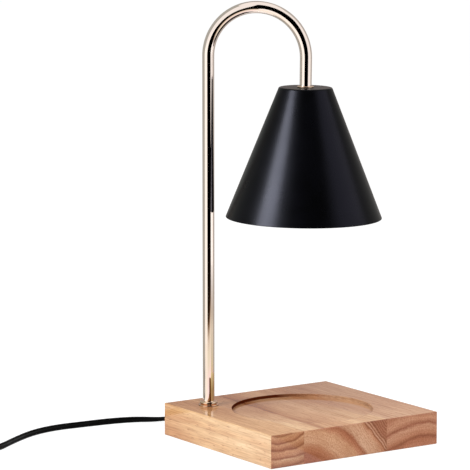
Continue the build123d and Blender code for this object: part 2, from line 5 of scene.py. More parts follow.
import bmesh
import bpy
import numpy as np
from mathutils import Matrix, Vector


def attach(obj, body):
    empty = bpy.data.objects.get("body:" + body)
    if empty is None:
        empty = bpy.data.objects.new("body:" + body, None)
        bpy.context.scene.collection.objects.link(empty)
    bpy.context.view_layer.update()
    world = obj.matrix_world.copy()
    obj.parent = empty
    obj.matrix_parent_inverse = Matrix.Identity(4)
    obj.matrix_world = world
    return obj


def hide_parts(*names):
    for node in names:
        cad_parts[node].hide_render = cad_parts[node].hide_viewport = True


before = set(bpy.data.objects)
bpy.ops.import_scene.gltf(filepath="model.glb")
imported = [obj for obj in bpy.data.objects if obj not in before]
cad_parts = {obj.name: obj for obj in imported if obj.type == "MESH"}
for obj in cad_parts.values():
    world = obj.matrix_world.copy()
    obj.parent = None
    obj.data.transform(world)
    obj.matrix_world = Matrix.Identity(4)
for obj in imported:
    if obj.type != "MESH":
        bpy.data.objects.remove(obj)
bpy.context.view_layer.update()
MM = 0.001

# ---- camera: where it stands, in degrees and millimetres of the lamp's own frame
VIEW_AZIMUTH, VIEW_PITCH, VIEW_DISTANCE = -34.209, 8.414, 2300.0
VIEW_RIGHT, VIEW_HEIGHT = -51.7, 164.976
VIEW_FOCAL_PX, PICTURE_PX, SENSOR_MM = 2911.8, 470, 36.0

# ---- the lamp's own sizes, in millimetres
BOARD_X, BOARD_Y, BOARD_LOW, BOARD_TOP, BOARD_EASE = 160.0, 150.0, 0.3, 26.3, 0.5
RECESS_R, RECESS_Y, RECESS_DEPTH, RECESS_FILLET, RECESS_EASE = 56.0, -3.5, 2.4, 0.7, 0.45
POCKET_X, POCKET_Y, POCKET_Z, POCKET_CORNER_R = 138.0, 127.0, 3.3, 20.3
GLUE_LINE_LEFT, GLUE_LINE_RIGHT = -49.5, 30.0
# the recess wall's painted shade, with a little scorch: where it is darkest, and its band from bare to
# scorched and shaded
SCORCH_AND_SHADE_AT = 130.0  # where the recess wall is darkest, in degrees round it from +X
SCORCH_AND_SHADE_BAND = (-0.8, -0.1), (0.5, 0.3)  # from bare to scorched, past the recess radius: inside and outside
STEM_X, STEM_Y = -56.0, 47.0
TUBE_R, ARCH_R, SPRING_Z, ARM_DIRECTION, LEAN = 4.75, 38.9, 306.0, -45.0, 0.6
TUBE_END_Z, TUBE_BELOW_SHADE_TOP = 7.8, 9.0
INTO_TUBE = 0.4  # how far the collar and the cap reach into the tube
LIP_R, LIP_H, CAP_R, CAP_H = 7.9, 1.1, 6.6, 1.2
BEAD_R, BEAD_H, BEAD_MIDDLE = 1.3, 2.6, 5.7
BEAD_FIRST, BEAD_LAST = -78, 84  # the part of the bead's circle that shows, in degrees
SHADE_TOP_Z, SHADE_TOP_R, SHADE_RIM_R, SHADE_H, SHADE_WALL = 282.8, 20.9, 61.6, 102.7, 1.0
BULB_RIM, BULB_R = -82.0, 25.0
LENSLET_DEPTH, LENSLET_RING, LENSLET_SPOKES = 0.35, 3.2, 12

# ---- how finely the surfaces are divided
BOARD_RAYS, FARTHEST_RAY, HALVINGS = 240, 150.0, 40
CORNER_RAYS = [-0.42, -0.25, -0.12, 0, 0.12, 0.25, 0.42]  # extra rays at each corner of the board, degrees
STEM_RINGS, ARCH_RINGS, LEG_RINGS, TUBE_POINTS = 24, 97, 5, 72
TURNED_POINTS, CONE_POINTS, CONE_STEPS = 160, 240, 7

# ---- the flat twin cord, in millimetres and degrees
CORD_WIDTH, CORD_THICK = 5.0, 2.6
CORD_LIES_Z, CORD_CLEARS_Z = 3.0, 5.5  # below the first it rests on the table, above the second it is clear
CORE_ARC, CORE_POINTS, ROLL_EASE = 140.0, 13, 9

# ---- the cord's routes, chosen point by point, its coil and the tie, in millimetres
NEAR_ROUTE = [
    (-56, 95, 7), (-56.6, 107, 5.1), (-61.5, 119.5, 3.3), (-72.5, 130, 2.5), (-92, 134.8, 2.5),
    (-117, 136.5, 2.5), (-144, 138.8, 2.5), (-169.5, 132.3, 2.5), (-195.5, 116, 2.5), (-219, 97.5, 3.1),
    (-238.5, 83.5, 5.9), (-255.5, 70, 6.5),
]
FAR_ROUTE = [
    (-296.5, 38, 6.5), (-310, 27.3, 5.5), (-326.8, 25.6, 3.2), (-341.5, 33, 2.5), (-351, 48, 2.5),
    (-353, 66, 2.5), (-351.5, 84, 2.5), (-350, 102, 2.6),
]
TAIL_ROUTE = [(-327, 138.3, 7.7), (-308.5, 142.6, 7.8), (-288, 141, 7.7), (-268, 138, 7.6)]
COIL_X, COIL_Y, COIL_R = -319.0, 108.0, 27.5
COIL_FIRST, COIL_LAST = 190.0, 112.0  # where the cord joins and leaves the coil, in degrees from +X
COIL_TURNS, COIL_PITCH, COIL_LOW, COIL_HIGH, COIL_STEP = 6, 2.65, 3.0, 8.1, 15.0
TIE_WIDTH, TIE_THICK, TIE_AT, TIE_SQUARENESS = 12.0, 0.6, 40.0, 0.35

# ---- how each cord lies: (millimetres along, degrees of roll). It is flat at 0 and on its edge at 90, and a
# distance below 0 counts back from its end
NEAR_ROLL = [(0, 16), (20, 18), (42, 50), (85, 90), (190, 90), (-22, 0), (-1, 0)]
FAR_ROLL = [(0, 0), (14, 0), (70, 90), (-45, 90), (-12, 0), (-1, 0)]

# ---- the wood, in millimetres: the (x, z) of each stave's pith, and how far its rings stray along the grain
LEFT_PITH, MIDDLE_PITH, RIGHT_PITH = (-70.0, 56.0), (-56.4, -52.5), (64.0, -60.0)
RING_WANDER, RING_RIPPLE = 8.0, 1.8
END_BARE, END_FULL = 0.6, 0.2  # how deep under a sawn end its own tone starts, and is full
FLANK_BARE, FLANK_FULL = 0.4, 0.1  # the same under the left stave's outer side
GLUE_REACH, GLUE_SHARE = 0.22, 0.35


# ---- places
def unit(v):
    """The vector at length one."""
    return np.asarray(v, float) / np.linalg.norm(v)


UP = np.array([0.0, 0.0, 1.0])
arm = np.array([cos(radians(ARM_DIRECTION)), sin(radians(ARM_DIRECTION)), 0.0])
across = np.array([-arm[1], arm[0], 0.0])
stem_foot = np.array([STEM_X, STEM_Y, 0.0])
shade_up = unit(UP * cos(radians(LEAN)) + arm * sin(radians(LEAN)))


def arch_points(turns):
    """The arch's centreline after so many degrees of bend: out by R(1 - cos) along the arm, up by R sin."""
    a = np.radians(turns)
    out, rise = ARCH_R * (1 - np.cos(a)), SPRING_Z + ARCH_R * np.sin(a)
    return stem_foot + out[:, None] * arm + rise[:, None] * UP


arch_end = arch_points(np.array([180.0 + LEAN]))[0]
shade_top = arch_end - shade_up * ((arch_end[2] - SHADE_TOP_Z) / shade_up[2])


# ---- camera
view_back = np.array([
    sin(radians(VIEW_AZIMUTH)) * cos(radians(VIEW_PITCH)),
    -cos(radians(VIEW_AZIMUTH)) * cos(radians(VIEW_PITCH)),
    sin(radians(VIEW_PITCH)),
])
view_right = np.array([cos(radians(VIEW_AZIMUTH)), sin(radians(VIEW_AZIMUTH)), 0.0])
camera = bpy.data.objects.new("camera", bpy.data.cameras.new("camera"))
camera.data.sensor_width = SENSOR_MM
camera.data.lens = VIEW_FOCAL_PX * SENSOR_MM / PICTURE_PX
camera.data.clip_start, camera.data.clip_end = 0.05, 50.0
camera.location = (view_right * VIEW_RIGHT + UP * VIEW_HEIGHT + view_back * VIEW_DISTANCE) * MM
camera.rotation_mode = "QUATERNION"
camera.rotation_quaternion = Vector(-view_back).to_track_quat("-Z", "Y")
bpy.context.scene.collection.objects.link(camera)
bpy.context.scene.camera = camera


# ---- material helpers
def linear(code):
    """An sRGB hex colour as linear red, green, blue and alpha."""
    parts = [int(code[i:i + 2], 16) / 255 for i in (1, 3, 5)]
    return (*(c / 12.92 if c <= 0.04045 else ((c + 0.055) / 1.055) ** 2.4 for c in parts), 1.0)


def add(tree, kind, inputs=(), stops=(), **settings):
    """Adds a node with its settings, ramp stops and inputs, each a value or a link, and gives its first
    output."""
    made = tree.nodes.new(kind)
    for name, value in settings.items():
        setattr(made, name, value)
    for i, (place, colour) in enumerate(stops):
        spots = made.color_ramp.elements
        spot = spots[i] if i < 2 else spots.new(place)
        spot.position, spot.color = place, linear(colour)
    for name, value in dict(inputs).items():
        socket = made.inputs[name]
        if isinstance(value, bpy.types.NodeSocket):
            tree.links.new(value, socket)
        else:
            socket.default_value = value
    return made.outputs[0]


def finish(name, base, **values):
    """A new material with its shader's own sockets set. Gives the material, tree, shader and object place."""
    made = bpy.data.materials.new(name)
    made.use_nodes = True
    tree = made.node_tree
    shader = tree.nodes["Principled BSDF"]
    shader.inputs["Base Color"].default_value = linear(base)
    for socket, value in values.items():
        shader.inputs[socket.replace("_", " ")].default_value = value
    return made, tree, shader, add(tree, "ShaderNodeTexCoord").node.outputs["Object"]


def clouds(tree, place, size_mm, drawn_out=(1, 1, 1), detail=2.0):
    """Soft patches about size_mm across, drawn out along X, Y and Z by the given factors, from 0 to 1."""
    scale = [1 / (size_mm * MM * f) for f in drawn_out]
    spread = add(tree, "ShaderNodeMapping", {"Vector": place, "Scale": scale})
    return add(tree, "ShaderNodeTexNoise", {"Vector": spread, "Scale": 1.0, "Detail": detail})


def worked(name, tones, patch_mm, dull=(), dull_mm=2.0, grain_mm=1.0, proud_mm=0.0,
           drawn_out=(1, 1, 1), **values):
    """A material whose colour drifts between two tones in patches of patch_mm. Where given, its roughness
    drifts between two values over dull_mm, and a grain of grain_mm stands proud_mm proud."""
    made, tree, shader, place = finish(name, tones[0], **values)
    patch = clouds(tree, place, patch_mm, drawn_out)
    tone = add(tree, "ShaderNodeValToRGB", {"Fac": patch}, stops=[(0.3, tones[0]), (0.7, tones[1])])
    tree.links.new(tone, shader.inputs["Base Color"])
    if dull:
        rubbed = clouds(tree, place, dull_mm, drawn_out)
        rubbed = add(tree, "ShaderNodeMapRange", {
            "Value": rubbed, "From Min": 0.3, "From Max": 0.7, "To Min": dull[0], "To Max": dull[1],
        })
        tree.links.new(rubbed, shader.inputs["Roughness"])
    if proud_mm:
        grain = clouds(tree, place, grain_mm, detail=1.0)
        grain = add(tree, "ShaderNodeBump", {"Height": grain, "Distance": proud_mm * MM})
        tree.links.new(grain, shader.inputs["Normal"])
    return made


# ---- materials
def lacquered_ash():
    """Edge-glued ash staves with the grain along Y, sanded square and sprayed with clear gloss lacquer.

    A stave's growth rings are cylinders about a line along Y, its pith. The tone follows the distance from
    that line, so the sawn ends show arcs and the long faces show the same rings as stripes."""
    made, tree, shader, place = finish(
        "lacquered_ash", "#d8ad86", Roughness=0.5, Specular_IOR_Level=0.0, Coat_Weight=1.0,
        Coat_Roughness=0.07,
    )
    mm = add(tree, "ShaderNodeVectorMath", {0: place, 1: (1 / MM,) * 3}, operation="MULTIPLY")
    x = add(tree, "ShaderNodeSeparateXYZ", {"Vector": mm})
    y, z = x.node.outputs["Y"], x.node.outputs["Z"]
    wander = clouds(tree, place, 34.0, (1, 3.5, 1))
    ripple = clouds(tree, place, 5.0, (1, 6, 1))

    def rings(pith_x, pith_z):
        """The distance from a pith, in millimetres, wandering by a few millimetres along the grain."""
        off = add(tree, "ShaderNodeVectorMath", {0: mm, 1: (pith_x, 0, pith_z)}, operation="SUBTRACT")
        flat = add(tree, "ShaderNodeVectorMath", {0: off, 1: (1, 0, 1)}, operation="MULTIPLY")
        far = add(tree, "ShaderNodeVectorMath", {0: flat}, operation="LENGTH").node.outputs["Value"]
        far = add(tree, "ShaderNodeMath", {0: wander, 1: RING_WANDER, 2: far}, operation="MULTIPLY_ADD")
        far = add(tree, "ShaderNodeMath", {0: ripple, 1: RING_RIPPLE, 2: far}, operation="MULTIPLY_ADD")
        return add(tree, "ShaderNodeMath", {0: far, 1: (RING_WANDER + RING_RIPPLE) / 2}, operation="SUBTRACT")

    def tone(far, first, last, bands):
        """The tone of the growth rings: bands of (distance from the pith, colour) between two distances."""
        share = add(tree, "ShaderNodeMapRange", {"Value": far, "From Min": first, "From Max": last})
        stops = [((r - first) / (last - first), colour) for r, colour in bands]
        return add(tree, "ShaderNodeValToRGB", {"Fac": share}, stops=stops)

    left_far, middle_far, right_far = rings(*LEFT_PITH), rings(*MIDDLE_PITH), rings(*RIGHT_PITH)
    left = tone(left_far, 28.0, 62.0, [
        (28.0, "#c08e6c"), (31.0, "#956144"), (32.2, "#c2936f"), (35.6, "#b78260"), (37.0, "#8e563b"),
        (38.6, "#c69875"), (41.6, "#b07b5a"), (43.4, "#8b5338"), (45.0, "#c2916f"), (48.2, "#b58262"),
        (49.8, "#92593e"), (51.2, "#c69c7a"), (54.4, "#ae7959"), (56.0, "#8d553b"), (57.6, "#c0906e"),
        (62.0, "#ba8765"),
    ])
    stripes = [
        (101.6, "#874c34"), (102.6, "#c89c82"), (103.5, "#824830"), (104.6, "#bf9076"), (105.6, "#7c442e"),
    ]
    for step in range(6):
        stripes += [(107.2 + 1.9 * step, "#a46e56"), (108.1 + 1.9 * step, "#874d37")]
    middle = tone(middle_far, 50.0, 120.0, [
        (50.0, "#ae7256"), (60.0, "#a5694c"), (65.0, "#b57f61"), (69.5, "#c89e80"), (79.0, "#c69978"),
        (83.0, "#b2785b"), (86.0, "#a0654b"), (89.0, "#c8a186"), (97.5, "#c5997c"), (100.6, "#b57f61"),
        *stripes,
    ])
    right = tone(right_far, 56.0, 100.0, [
        (56.0, "#9e624c"), (60.4, "#b87f65"), (66.0, "#a86d54"), (69.0, "#8d523c"), (71.6, "#b0785d"),
        (77.6, "#be8d73"), (80.0, "#945944"), (83.4, "#bb886d"), (90.4, "#a77158"), (100.0, "#b68367"),
    ])
    past_left = add(tree, "ShaderNodeMath", {0: x, 1: GLUE_LINE_LEFT}, operation="GREATER_THAN")
    past_right = add(tree, "ShaderNodeMath", {0: x, 1: GLUE_LINE_RIGHT}, operation="GREATER_THAN")

    def by_stave(on_left, on_middle, on_right):
        """Three staves side by side."""
        pair = add(tree, "ShaderNodeMixRGB", {"Fac": past_left, "Color1": on_left, "Color2": on_middle})
        return add(tree, "ShaderNodeMixRGB", {"Fac": past_right, "Color1": pair, "Color2": on_right})

    staves = by_stave(left, middle, right)
    distance = by_stave(left_far, middle_far, right_far)

    # sawn ends soak up the lacquer and keep the rings' full contrast; long faces are paler and calmer, and
    # the left stave's outer side, cut across the rings, is the palest, with a painted sheen strongest near
    # its front
    end = add(tree, "ShaderNodeMath", {0: y}, operation="ABSOLUTE")
    end = add(tree, "ShaderNodeMapRange", {
        "Value": end, "From Min": BOARD_Y / 2 - END_BARE, "From Max": BOARD_Y / 2 - END_FULL,
    })
    # painted light: each long face is lighter at the front and darker at the back, and the left stave's outer
    # side paler still near the front
    calm_and_lit_tones = []
    for front, back, last_y in (
        ("#fbcf99", "#dfab78", 70.0), ("#ffd8a6", "#d6a97f", 36.0), ("#f2cda4", "#ceaa87", 70.0),
        ("#ffe0b4", "#e9ba84", 70.0),
    ):
        along = add(tree, "ShaderNodeMapRange", {"Value": y, "From Min": -60.0, "From Max": last_y})
        calm_and_lit_tones.append(add(tree, "ShaderNodeMixRGB", {
            "Fac": along, "Color1": linear(front), "Color2": linear(back),
        }))
    calm_and_lit = by_stave(*calm_and_lit_tones[:3])
    flank = add(tree, "ShaderNodeMapRange", {
        "Value": x, "From Min": -BOARD_X / 2 + FLANK_BARE, "From Max": -BOARD_X / 2 + FLANK_FULL,
    })
    calm_and_lit = add(tree, "ShaderNodeMixRGB", {"Fac": flank, "Color1": calm_and_lit, "Color2": calm_and_lit_tones[3]})
    calm_and_lit = add(tree, "ShaderNodeMixRGB", {"Fac": 0.75, "Color1": staves, "Color2": calm_and_lit})
    season = tone(distance, 28.0, 120.0, [
        (28.0, "#f1e4d9"), (34.0, "#ffffff"), (41.0, "#f0e3d9"), (46.0, "#ffffff"), (52.0, "#f2e7de"),
        (60.0, "#ffffff"), (81.6, "#ffffff"), (82.7, "#bd9474"), (84.0, "#e9d9cd"), (90.0, "#efe2d8"),
        (96.0, "#fdfaf8"), (101.0, "#ffffff"), (104.5, "#efe2d8"), (108.0, "#ffffff"), (113.0, "#f2e8e0"),
        (120.0, "#ffffff"),
    ])
    calm_and_lit = add(tree, "ShaderNodeMixRGB", {
        "Fac": 0.9, "Color1": calm_and_lit, "Color2": season,
    }, blend_type="MULTIPLY")
    wood = add(tree, "ShaderNodeMixRGB", {"Fac": end, "Color1": calm_and_lit, "Color2": staves})
    drift = clouds(tree, place, 30.0, (1, 3, 1), detail=1.0)
    drift = add(tree, "ShaderNodeValToRGB", {"Fac": drift}, stops=[(0.36, "#e6d2c6"), (0.6, "#ffffff")])

    # fibres and the short dark pores of a ring-porous wood, drawn a millimetre wide so that they show; on
    # the sawn ends fine lines follow the rings
    fibre = clouds(tree, place, 1.0, (1, 26, 1), detail=3.0)
    pores = clouds(tree, place, 0.9, (1, 7, 1), detail=1.0)
    streak = add(tree, "ShaderNodeValToRGB", {"Fac": fibre}, stops=[(0.3, "#cfbbac"), (0.62, "#ffffff")])
    fleck = add(tree, "ShaderNodeValToRGB", {"Fac": pores}, stops=[(0.28, "#bfa08c"), (0.34, "#ffffff")])
    line = add(tree, "ShaderNodeCombineXYZ", {"X": distance, "Y": 0.0, "Z": 0.0})
    line = add(tree, "ShaderNodeVectorMath", {0: mm, 1: (0.11, 0.0, 0.11), 2: line}, operation="MULTIPLY_ADD")
    line = add(tree, "ShaderNodeTexNoise", {"Vector": line, "Scale": 0.9, "Detail": 3.0})
    line = add(tree, "ShaderNodeValToRGB", {"Fac": line}, stops=[(0.36, "#cdb2a0"), (0.6, "#ffffff")])
    lined = add(tree, "ShaderNodeMixRGB", {"Fac": end, "Color1": (1, 1, 1, 1), "Color2": line})
    for share, layer in ((0.7, drift), (0.8, streak), (0.7, fleck), (0.35, lined)):
        wood = add(tree, "ShaderNodeMixRGB", {
            "Fac": share, "Color1": wood, "Color2": layer,
        }, blend_type="MULTIPLY")

    # each glue line is a hair of darker glue
    for seam in (GLUE_LINE_LEFT, GLUE_LINE_RIGHT):
        near = add(tree, "ShaderNodeMath", {0: x, 1: seam, 2: GLUE_REACH}, operation="COMPARE")
        near = add(tree, "ShaderNodeMath", {0: near, 1: GLUE_SHARE}, operation="MULTIPLY")
        wood = add(tree, "ShaderNodeMixRGB", {"Fac": near, "Color1": wood, "Color2": linear("#7c4c32")})

    # painted shade, with a little scorch: the recess wall is darkened at the back left, where it faces away
    # from the key light and where the cutter crossed the grain
    well = add(tree, "ShaderNodeVectorMath", {0: mm, 1: (0, RECESS_Y, 0)}, operation="SUBTRACT")
    well = add(tree, "ShaderNodeVectorMath", {0: well, 1: (1, 1, 0)}, operation="MULTIPLY")
    reach = add(tree, "ShaderNodeVectorMath", {0: well}, operation="LENGTH").node.outputs["Value"]
    well = add(tree, "ShaderNodeVectorMath", {0: well}, operation="NORMALIZE")
    darkest_facing = (cos(radians(SCORCH_AND_SHADE_AT)), sin(radians(SCORCH_AND_SHADE_AT)), 0)
    side = add(tree, "ShaderNodeVectorMath", {0: well, 1: darkest_facing}, operation="DOT_PRODUCT")
    side = side.node.outputs["Value"]
    scorch_and_shade = add(tree, "ShaderNodeMapRange", {"Value": side, "From Min": 0.1, "From Max": 0.6, "To Min": 0.1})
    for bare, full in SCORCH_AND_SHADE_BAND:
        on_wall = add(tree, "ShaderNodeMapRange", {
            "Value": reach, "From Min": RECESS_R + bare, "From Max": RECESS_R + full,
        })
        scorch_and_shade = add(tree, "ShaderNodeMath", {0: scorch_and_shade, 1: on_wall}, operation="MULTIPLY")
    # painted shade: the wall is mixed towards a deep scorched brown, and its coat is taken off there
    wood = add(tree, "ShaderNodeMixRGB", {"Fac": scorch_and_shade, "Color1": wood, "Color2": linear("#4a1a08")})
    coat = add(tree, "ShaderNodeMath", {0: 1.0, 1: scorch_and_shade}, operation="SUBTRACT")
    tree.links.new(coat, shader.inputs["Coat Weight"])
    tree.links.new(wood, shader.inputs["Base Color"])
    raised = add(tree, "ShaderNodeBump", {"Height": fibre, "Distance": 0.02 * MM})
    tree.links.new(raised, shader.inputs["Normal"])
    return made


def champagne_plate():
    """Champagne-gold electroplate on polished steel: a clear mirror with a faint, uneven polish."""
    return worked("champagne_plate", ("#f4e4d9", "#f7e9e0"), 30.0, dull=(0.03, 0.06), dull_mm=8.0,
                  drawn_out=(1, 1, 4), Metallic=1.0)


def rose_plate():
    """The collar's and the cap's plate: redder and a little duller than the tube's."""
    return worked("rose_plate", ("#f4cfae", "#f9dcc2"), 6.0, dull=(0.05, 0.09), dull_mm=3.0, Metallic=1.0)


def satin_powder_coat():
    """Black satin powder coat on spun steel: a deep black with a soft sheen over a fine orange peel."""
    return worked("satin_powder_coat", ("#010101", "#020203"), 25.0, dull=(0.27, 0.3), dull_mm=18.0,
                  grain_mm=0.9, proud_mm=0.006, IOR=1.45, Specular_IOR_Level=0.1,
                  Specular_Tint=linear("#e2e6ff"))


def extruded_pvc():
    """Black PVC drawn through a die: a low sheen with fine scuffs."""
    return worked("extruded_pvc", ("#010101", "#040404"), 6.0, dull=(0.4, 0.54), dull_mm=2.5,
                  grain_mm=1.2, proud_mm=0.02, IOR=1.48, Specular_IOR_Level=0.07)


def moulded_pvc():
    """Black PVC moulded over the cord: matte, from a grit-blasted mould."""
    return worked("moulded_pvc", ("#080809", "#0d0d0e"), 5.0, grain_mm=0.6, proud_mm=0.03,
                  IOR=1.48, Roughness=0.55, Specular_IOR_Level=0.3)


def spark_textured_abs():
    """Black ABS from a spark-eroded mould: an even matte grain."""
    return worked("spark_textured_abs", ("#111113", "#18181a"), 0.45, dull=(0.44, 0.6), dull_mm=0.45,
                  grain_mm=0.45, proud_mm=0.03, IOR=1.52)


def zinc_plate():
    """Bright zinc on stamped and turned steel: pale grey with a cloudy, bluish spangle."""
    return worked("zinc_plate", ("#aab0b6", "#c6c8c9"), 3.0, dull=(0.28, 0.45), dull_mm=1.5, Metallic=1.0)


def moulded_rubber():
    """Soft black rubber feet: dull, with a trace of dust."""
    return worked("moulded_rubber", ("#121110", "#1d1c1a"), 1.5, IOR=1.5, Roughness=0.8)


def pressed_steatite():
    """Cream steatite ceramic, pressed and fired: a thin, slightly waxy glaze."""
    return worked("pressed_steatite", ("#e3ddd0", "#ece8dd"), 2.0, grain_mm=0.7, proud_mm=0.02,
                  IOR=1.55, Roughness=0.4)


def stamped_brass():
    """Brass pins, leaves and blades: rolled and stamped, with faint handling marks."""
    return worked("stamped_brass", ("#cfa95e", "#dfbd77"), 2.0, dull=(0.18, 0.34), dull_mm=0.8,
                  drawn_out=(1, 1, 6), Metallic=1.0)


def pressed_glass():
    """Clear pressed glass: the lamp's front and its inner capsule."""
    return worked("pressed_glass", ("#f1f5f5", "#f8faf9"), 9.0, IOR=1.5, Roughness=0.03,
                  Transmission_Weight=1.0)


def mirrored_glass():
    """The reflector's glass with its vacuum-coated mirror: silver with a faint warm bloom."""
    return worked("mirrored_glass", ("#d2d6dc", "#e2dfd9"), 12.0, Metallic=1.0, Roughness=0.12)


def glass_fibre_board():
    """Green solder-masked circuit board."""
    return worked("glass_fibre_board", ("#1a4429", "#235536"), 1.0, IOR=1.5, Roughness=0.4)


def epoxy_case():
    """Moulded epoxy cases of the triac and the control: dull blue-black."""
    return worked("epoxy_case", ("#16191f", "#1f2229"), 0.8, IOR=1.5, Roughness=0.6)


def silicone_sleeve():
    """Silicone-sleeved leads: pale, waxy and slightly dusty."""
    return worked("silicone_sleeve", ("#d0ccc3", "#dfdbd4"), 1.5, IOR=1.42, Roughness=0.5)


def woven_tie():
    """Black hook-and-loop tie: a napped cloth of half-millimetre loops."""
    return worked("woven_tie", ("#0b0b0c", "#1f1f21"), 0.5, grain_mm=0.5, proud_mm=0.15,
                  Roughness=0.9, Sheen_Weight=0.3)


ash, plate, rose, powder = lacquered_ash(), champagne_plate(), rose_plate(), satin_powder_coat()
pvc = extruded_pvc()
moulded, abs_grain, zinc, rubber = moulded_pvc(), spark_textured_abs(), zinc_plate(), moulded_rubber()
steatite, brass, glass, mirror = pressed_steatite(), stamped_brass(), pressed_glass(), mirrored_glass()
board_green, epoxy, silicone, cloth = glass_fibre_board(), epoxy_case(), silicone_sleeve(), woven_tie()

NODE_FINISH = {
    "base_block": ash, "bottom_plate": zinc, "plate_screws": zinc, "rubber_feet": rubber,
    "stem_tube": plate, "foot_collar": rose, "shade_cap": rose, "stem_washer": zinc,
    "stem_lock_washer": zinc, "stem_nut": zinc, "cord_strain_relief": moulded, "lead_line": silicone,
    "lead_neutral": silicone, "shade": powder, "shade_washer": zinc, "lampholder_bracket": zinc,
    "shade_nut": zinc, "lampholder": steatite, "holder_contacts": brass, "holder_screws": zinc,
    "bulb_pins": brass, "bulb_base": steatite, "bulb_reflector": mirror, "bulb_lens": glass,
    "bulb_capsule": glass, "power_cord_near": pvc, "power_cord_far": pvc, "power_cord_tail": pvc,
    "cord_coil": pvc, "dimmer_lower_shell": abs_grain, "dimmer_upper_shell": abs_grain,
    "dimmer_screws": zinc, "dimmer_board": board_green, "dimmer_triac": epoxy, "dimmer_control": epoxy,
    "dimmer_wheel": abs_grain, "dimmer_shaft": zinc, "plug_body": moulded, "plug_blades": brass,
}
for node, material in NODE_FINISH.items():
    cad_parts[node].data.materials.clear()
    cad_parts[node].data.materials.append(material)


# ---- surface helpers
def skin(name, rings, material, body="stand", hollow=False, crease=32.0):
    """A closed skin over rings of points in millimetres, an array of ring, point and coordinate.

    Point j of ring i joins point j of ring i + 1. On a hollow piece the last ring joins the first; on any
    other both ends close in a fan, or in a pole where the end ring has no size."""
    rings = np.asarray(rings, float) * MM
    rows, around, _ = rings.shape
    i, j = np.meshgrid(np.arange(rows if hollow else rows - 1), np.arange(around), indexing="ij")
    after, beside = (i + 1) % rows, (j + 1) % around
    quads = np.stack([i * around + j, i * around + beside, after * around + beside, after * around + j], -1)
    corners, faces = rings.reshape(-1, 3), quads.reshape(-1, 4).tolist()
    if not hollow:
        faces += [list(range(around))[::-1], list(range((rows - 1) * around, rows * around))]
    mesh = bpy.data.meshes.new(name)
    mesh.from_pydata(corners.tolist(), [], faces)
    cleaned = bmesh.new()
    cleaned.from_mesh(mesh)
    bmesh.ops.remove_doubles(cleaned, verts=cleaned.verts, dist=1e-6)
    bmesh.ops.dissolve_degenerate(cleaned, edges=cleaned.edges, dist=1e-7)
    bmesh.ops.recalc_face_normals(cleaned, faces=cleaned.faces)
    cleaned.to_mesh(mesh)
    cleaned.free()
    mesh.polygons.foreach_set("use_smooth", np.ones(len(mesh.polygons), bool))
    mesh.set_sharp_from_angle(angle=radians(crease))
    mesh.materials.append(material)
    piece = bpy.data.objects.new(name, mesh)
    bpy.context.scene.collection.objects.link(piece)
    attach(piece, body)
    return piece


def eased(outline, steps=5):
    """Rounds an outline of (a, b, radius) corners: each becomes a short curve between its tangent points,
    b(t) = (1-t)^2 start + 2t(1-t) corner + t^2 end. Open at both ends."""
    spots = np.array([p[:2] for p in outline], float)
    made = [spots[:1]]
    for k in range(1, len(spots) - 1):
        radius = outline[k][2]
        back, ahead = unit(spots[k - 1] - spots[k]), unit(spots[k + 1] - spots[k])
        if radius <= 0:
            made.append(spots[k:k + 1])
            continue
        half = np.arccos(np.clip(back @ ahead, -1, 1)) / 2
        reach = radius / tan(half)
        t = np.linspace(0, 1, steps)[:, None]
        start, end = spots[k] + back * reach, spots[k] + ahead * reach
        made.append((1 - t) ** 2 * start + 2 * t * (1 - t) * spots[k] + t ** 2 * end)
    return np.concatenate([*made, spots[-1:]])


def square_to(up):
    """Two unit directions square to each other and to the given one."""
    side = unit(np.cross(up, [0.0, 1.0, 0.0]))
    return side, np.cross(up, side)


def turned(outline, origin, up=UP, around=TURNED_POINTS):
    """Rings of a turned piece: each (radius, height) of the outline swept round an upright line."""
    side, front = square_to(up)
    a = np.linspace(0, 2 * pi, around, endpoint=False)
    circle = np.cos(a)[:, None] * side + np.sin(a)[:, None] * front
    outline = np.asarray(outline, float)
    return origin + outline[:, 0, None, None] * circle + outline[:, 1, None, None] * up


# ---- the flat twin cord
def smooth_route(route, name):
    """The points, in metres, along the cord's one smooth line, a NURBS spline with the route's points."""
    curve = bpy.data.curves.new(name, "CURVE")
    curve.dimensions = "3D"
    curve.resolution_u = 10
    spline = curve.splines.new("NURBS")
    spline.points.add(len(route) - 1)
    for point, place in zip(spline.points, route):
        point.co = (*(c * MM for c in place), 1.0)
    spline.order_u = 3
    spline.use_endpoint_u = True
    line = bpy.data.objects.new(name, curve)
    bpy.context.scene.collection.objects.link(line)
    sampled = bpy.data.meshes.new_from_object(line)
    points = np.array([v.co for v in sampled.vertices])
    bpy.data.objects.remove(line)
    bpy.data.meshes.remove(sampled)
    return points


